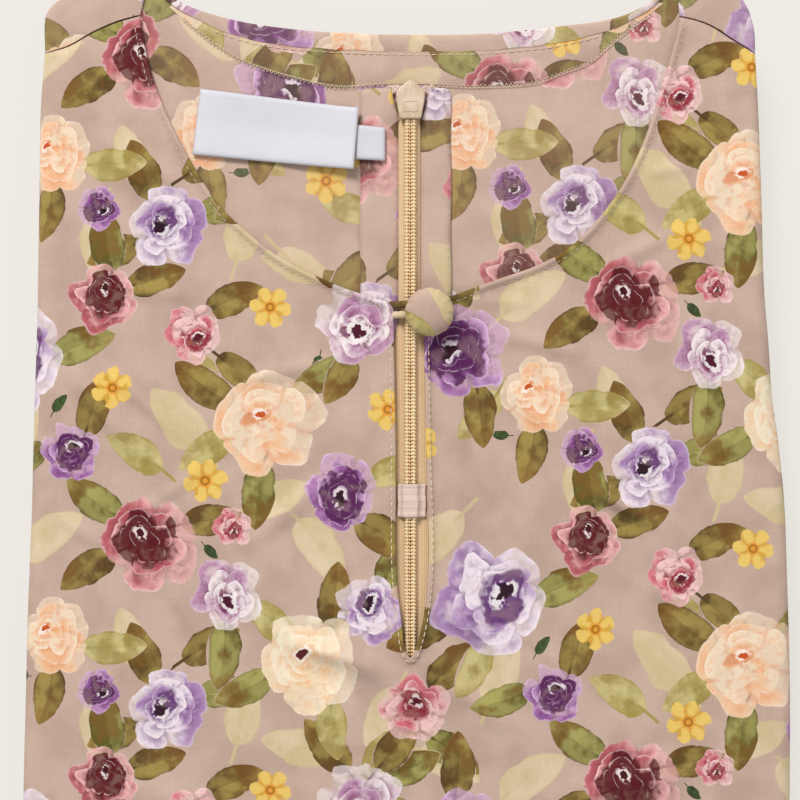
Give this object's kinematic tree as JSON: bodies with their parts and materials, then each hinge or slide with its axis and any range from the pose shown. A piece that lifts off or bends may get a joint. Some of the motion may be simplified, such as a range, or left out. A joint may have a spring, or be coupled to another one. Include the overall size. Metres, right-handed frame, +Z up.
{
  "type": "folded baju kurung",
  "caption": "Folded baju kurung set lying face up: round neck with a centre slit, covered button and loop, the back zip seen from inside, folded skirt below.",
  "frame": {"origin": "centre of the underside's bounding rectangle, on the surface that the folded garment lies on", "axes": "+Z up from the surface, +Y from the lower fold to the shoulders, +X to the right as seen from above (the wearer's left)"},
  "size_m": [0.2516, 0.3342, 0.0361],
  "materials": {
    "print_cloth": "plain-weave cotton blend with a flower print, matt",
    "inside_cloth": "same print seen on its inside, matt",
    "folded_cloth": "same print on the folded layers' edges, matt",
    "zip_tape": "woven polyester tape, satin",
    "zip_plastic": "nylon coil and painted slider, semi-matt",
    "label_cloth": "smooth woven label, blank, satin",
    "tab_cloth": "thin pale tape, satin"
  },
  "bodies": {
    "root": {"front_panel": "print_cloth", "back_left": "inside_cloth", "back_right": "inside_cloth", "back_facing_left": "inside_cloth", "back_facing_right": "inside_cloth", "seam_allowance_left": "inside_cloth", "seam_allowance_right": "inside_cloth", "zip_tape_left": "zip_tape", "zip_tape_right": "zip_tape", "zip_coil_left": "zip_plastic", "zip_coil_right": "zip_plastic", "zip_slider": "zip_plastic", "zip_tab": "tab_cloth", "neck_label": "label_cloth", "size_tab": "label_cloth", "button": "print_cloth", "button_loop": "print_cloth", "tunic_folds": "folded_cloth", "skirt_folds": "folded_cloth"}
  },
  "joints": []
}
